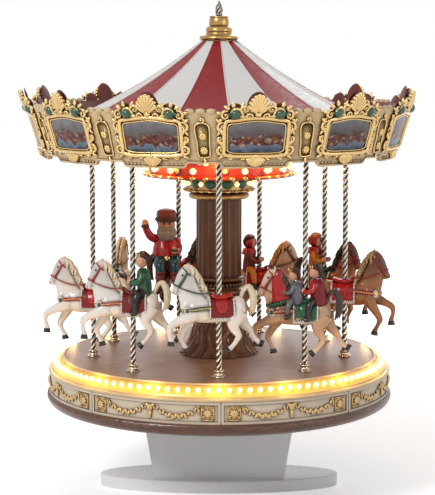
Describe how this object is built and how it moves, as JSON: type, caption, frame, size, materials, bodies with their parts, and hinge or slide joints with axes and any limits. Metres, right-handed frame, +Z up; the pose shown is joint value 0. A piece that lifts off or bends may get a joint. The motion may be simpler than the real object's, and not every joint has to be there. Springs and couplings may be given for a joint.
{
  "type": "carousel music box",
  "caption": "Table carousel music box: a turning canopied deck of rising and falling horses on twisted poles, driven by a wound movement in the lit base, on a display stand.",
  "frame": {"origin": "the middle of the stand foot's underside, on the surface it stands on", "axes": "+Z up along the turning axis, -Y towards the front of the stand, +X to the viewer's right"},
  "size_m": [0.3078, 0.3078, 0.385],
  "materials": {
    "clear_stand": "satin pale grey",
    "brown_wood": "satin varnish",
    "cream_paint": "antiqued cream paint on resin",
    "old_gold": "antique gold paint on resin",
    "lamp": "frosted warm lamp",
    "steel": "bright",
    "brass": "polished",
    "white_plastic": "moulded",
    "black_plastic": "moulded",
    "carved_brown": "bronze brown paint on carved resin",
    "red_paint": "gloss",
    "picture_enamel": "painted landscape",
    "green_jewel": "cut",
    "white_canvas": "satin paint",
    "red_canvas": "satin paint",
    "dark_silver": "tarnished",
    "white_horse": "hand-painted resin",
    "tan_horse": "hand-painted resin",
    "brown_horse": "hand-painted resin",
    "dark_horse": "hand-painted resin"
  },
  "bodies": {
    "base": {"stand_foot": "clear_stand", "stand_block": "clear_stand", "base_plate": "brown_wood", "base_screws": "steel", "base_moulding": "brown_wood", "base_panels": "cream_paint", "base_garlands": "old_gold", "light_channel": "cream_paint", "rim_bulbs": "lamp", "lift_cam": "white_plastic", "shaft_bush": "brass", "movement_frame": "brass", "tuning_comb": "steel", "battery_box": "black_plastic", "battery_cover": "black_plastic", "brush_contacts": "brass"},
    "spring_barrel": {"spring_barrel": "brass"},
    "pin_cylinder": {"pin_cylinder": "brass"},
    "governor": {"governor_fan": "steel"},
    "winding_key": {"winding_key": "brass"},
    "light_switch": {"light_switch": "black_plastic"},
    "carousel": {"drive_shaft": "steel", "drive_gear": "white_plastic", "slip_ring": "brass", "deck": "brown_wood", "pole_ferrules": "brass", "column_base": "carved_brown", "column_shaft": "carved_brown", "column_capital": "old_gold", "inner_crown": "red_paint", "crown_bulbs": "lamp", "ceiling": "red_paint", "crown_ring": "cream_paint", "crown_pictures": "picture_enamel", "crown_frames": "old_gold", "crown_ornaments": "old_gold", "crown_jewels": "green_jewel", "white_gores": "white_canvas", "red_gores": "red_canvas", "roof_ribs": "white_canvas", "finial_cap": "old_gold", "finial_flame": "dark_silver"},
    "horse_1": {"pole_1": "brass", "horse_1": "white_horse"},
    "horse_2": {"pole_2": "brass", "horse_2": "tan_horse"},
    "horse_3": {"pole_3": "brass", "horse_3": "brown_horse"},
    "horse_4": {"pole_4": "brass", "horse_4": "brown_horse"},
    "horse_5": {"pole_5": "brass", "horse_5": "tan_horse"},
    "horse_6": {"pole_6": "brass", "horse_6": "dark_horse"},
    "horse_7": {"pole_7": "brass", "horse_7": "white_horse"},
    "horse_8": {"pole_8": "brass", "horse_8": "white_horse"},
    "horse_9": {"pole_9": "brass", "horse_9": "white_horse"}
  },
  "joints": [
    {"name": "carousel_turn", "type": "hinge", "parent": "base", "child": "carousel", "pos_m": [0, 0, 0.1], "axis": [0, 0, 1], "continuous": true},
    {"name": "barrel_turn", "type": "hinge", "parent": "base", "child": "spring_barrel", "pos_m": [0, 0.0615, 0.09], "axis": [0, 0, 1], "continuous": true},
    {"name": "cylinder_turn", "type": "hinge", "parent": "base", "child": "pin_cylinder", "pos_m": [0.03, 0.0615, 0.08285], "axis": [1, 0, 0], "continuous": true},
    {"name": "governor_turn", "type": "hinge", "parent": "base", "child": "governor", "pos_m": [0.0443, 0.0693, 0.085], "axis": [0, 0, 1], "continuous": true},
    {"name": "key_turn", "type": "hinge", "parent": "base", "child": "winding_key", "pos_m": [0, 0.0615, 0.06], "axis": [0, 0, 1], "continuous": true},
    {"name": "switch_slide", "type": "slide", "parent": "base", "child": "light_switch", "axis": [1, 0, 0], "range_m": [0, 0.004]},
    {"name": "lift_1", "type": "slide", "parent": "carousel", "child": "horse_1", "axis": [0, 0, 1], "range_m": [-0.006, 0.002]},
    {"name": "lift_2", "type": "slide", "parent": "carousel", "child": "horse_2", "axis": [0, 0, 1], "range_m": [0, 0.008]},
    {"name": "lift_3", "type": "slide", "parent": "carousel", "child": "horse_3", "axis": [0, 0, 1], "range_m": [-0.006, 0.002]},
    {"name": "lift_4", "type": "slide", "parent": "carousel", "child": "horse_4", "axis": [0, 0, 1], "range_m": [-0.006, 0.002]},
    {"name": "lift_5", "type": "slide", "parent": "carousel", "child": "horse_5", "axis": [0, 0, 1], "range_m": [0, 0.008]},
    {"name": "lift_6", "type": "slide", "parent": "carousel", "child": "horse_6", "axis": [0, 0, 1], "range_m": [-0.006, 0.002]},
    {"name": "lift_7", "type": "slide", "parent": "carousel", "child": "horse_7", "axis": [0, 0, 1], "range_m": [-0.006, 0.002]},
    {"name": "lift_8", "type": "slide", "parent": "carousel", "child": "horse_8", "axis": [0, 0, 1], "range_m": [0, 0.008]},
    {"name": "lift_9", "type": "slide", "parent": "carousel", "child": "horse_9", "axis": [0, 0, 1], "range_m": [-0.006, 0.002]}
  ],
  "couplings": [
    {"joint": "barrel_turn", "follows": "carousel_turn", "ratio": -2.7273},
    {"joint": "cylinder_turn", "follows": "carousel_turn", "ratio": 8.1818},
    {"joint": "governor_turn", "follows": "carousel_turn", "ratio": 32.727},
    {"joint": "lift_4", "follows": "lift_1", "ratio": 1},
    {"joint": "lift_5", "follows": "lift_2", "ratio": 1},
    {"joint": "lift_6", "follows": "lift_3", "ratio": 1},
    {"joint": "lift_7", "follows": "lift_1", "ratio": 1},
    {"joint": "lift_8", "follows": "lift_2", "ratio": 1},
    {"joint": "lift_9", "follows": "lift_3", "ratio": 1}
  ]
}
